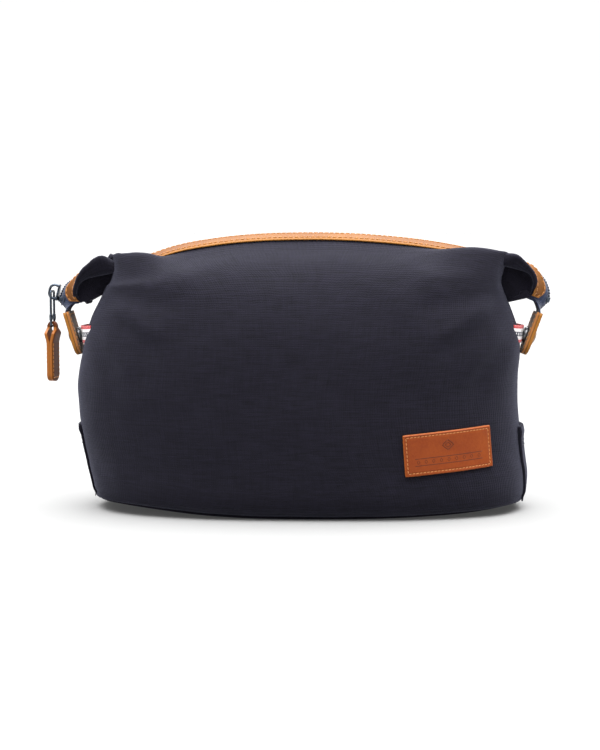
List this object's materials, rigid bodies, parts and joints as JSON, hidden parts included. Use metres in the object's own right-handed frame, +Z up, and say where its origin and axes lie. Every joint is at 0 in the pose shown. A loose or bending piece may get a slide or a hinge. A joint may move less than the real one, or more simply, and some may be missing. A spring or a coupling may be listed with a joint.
{
  "type": "shaving kit bag",
  "caption": "Stuffed canvas wash bag with an oval base, a zip along the top ridge edged in leather, and folded-down ends held by leather snap tabs.",
  "frame": {"origin": "middle of the base's flat underside, on the surface the bag stands on", "axes": "+X along the zip towards the end without the slider, +Y from the front (the side with the label) to the back, +Z up"},
  "size_m": [0.3026, 0.1296, 0.1657],
  "materials": {
    "canvas": "matt plain-weave canvas, waxed",
    "lining": "smooth matt twill",
    "leather": "smooth vegetable-tanned leather, satin",
    "label_leather": "smooth tan leather, satin, pressed",
    "pull_leather": "smooth tan leather, satin",
    "suede": "raw flesh side, matt",
    "zip_tape": "woven polyester tape",
    "zip_coil": "nylon coil, slight sheen",
    "ribbon": "striped grosgrain",
    "thread": "waxed thread",
    "gunmetal": "dark nickel, satin",
    "snap_brass": "antiqued, satin",
    "snap_steel": "satin"
  },
  "bodies": {
    "bag": {"front_panel": "canvas", "back_panel": "canvas", "base_panel": "canvas", "left_base_end": "canvas", "right_base_end": "canvas", "lining": "lining", "left_shoulder": "canvas", "right_shoulder": "canvas", "shoulder_trim": "leather", "shoulder_tape": "zip_tape", "shoulder_coil": "zip_coil", "label_patch": "label_leather", "left_ribbon": "ribbon", "right_ribbon": "ribbon", "left_snap_stud": "snap_steel", "right_snap_stud": "snap_steel", "left_stud_back": "snap_steel", "right_stud_back": "snap_steel"},
    "front_lip": {"front_lip_canvas": "canvas", "front_lip_lining": "lining", "front_trim": "leather", "front_zip_tape": "zip_tape", "front_zip_coil": "zip_coil"},
    "back_lip": {"back_lip_canvas": "canvas", "back_lip_lining": "lining", "back_trim": "leather", "back_zip_tape": "zip_tape", "back_zip_coil": "zip_coil"},
    "left_wing": {"left_wing_canvas": "canvas", "left_wing_trim": "leather", "left_wing_tape": "zip_tape", "left_wing_coil": "zip_coil", "zip_top_stops": "gunmetal"},
    "right_wing": {"right_wing_canvas": "canvas", "right_wing_trim": "leather", "right_wing_tape": "zip_tape", "right_wing_coil": "zip_coil", "zip_bottom_stop": "gunmetal"},
    "slider": {"slider_body": "gunmetal"},
    "puller": {"puller_frame": "gunmetal"},
    "pull": {"pull_leather": "pull_leather", "pull_thread": "thread"},
    "left_tab": {"left_tab_leather": "leather", "left_tab_backing": "suede", "left_snap_cap": "snap_brass", "left_snap_socket": "snap_steel"},
    "right_tab": {"right_tab_leather": "leather", "right_tab_backing": "suede", "right_snap_cap": "snap_brass", "right_snap_socket": "snap_steel"}
  },
  "joints": [
    {"name": "front_lip_open", "type": "hinge", "parent": "bag", "child": "front_lip", "pos_m": [0, -0.05579, 0.11636], "axis": [1, 0, 0], "range_deg": [0, 35]},
    {"name": "back_lip_open", "type": "hinge", "parent": "bag", "child": "back_lip", "pos_m": [0, 0.05579, 0.11636], "axis": [-1, 0, 0], "range_deg": [0, 35]},
    {"name": "left_wing_raise", "type": "hinge", "parent": "bag", "child": "left_wing", "pos_m": [-0.13122, 0, 0.1474], "axis": [0, 1, 0], "range_deg": [0, 60]},
    {"name": "right_wing_raise", "type": "hinge", "parent": "bag", "child": "right_wing", "pos_m": [0.13122, 0, 0.1474], "axis": [0, -1, 0], "range_deg": [0, 60]},
    {"name": "slider_travel", "type": "hinge", "parent": "left_wing", "child": "slider", "pos_m": [-0.1227, 0, 0.124], "axis": [0, 1, 0], "range_deg": [0, 42]},
    {"name": "puller_swing", "type": "hinge", "parent": "slider", "child": "puller", "pos_m": [-0.1516, 0, 0.13014], "axis": [0.1736, 0.9848, 0], "range_deg": [0, 90]},
    {"name": "pull_swing", "type": "hinge", "parent": "puller", "child": "pull", "pos_m": [-0.1516, 0, 0.10914], "axis": [0.1736, 0.9848, 0], "range_deg": [0, 60]},
    {"name": "left_tab_lift", "type": "hinge", "parent": "left_wing", "child": "left_tab", "pos_m": [-0.1422, 0, 0.119], "axis": [0, 1, 0], "range_deg": [0, 18]},
    {"name": "right_tab_lift", "type": "hinge", "parent": "right_wing", "child": "right_tab", "pos_m": [0.1422, 0, 0.119], "axis": [0, -1, 0], "range_deg": [0, 80]}
  ]
}
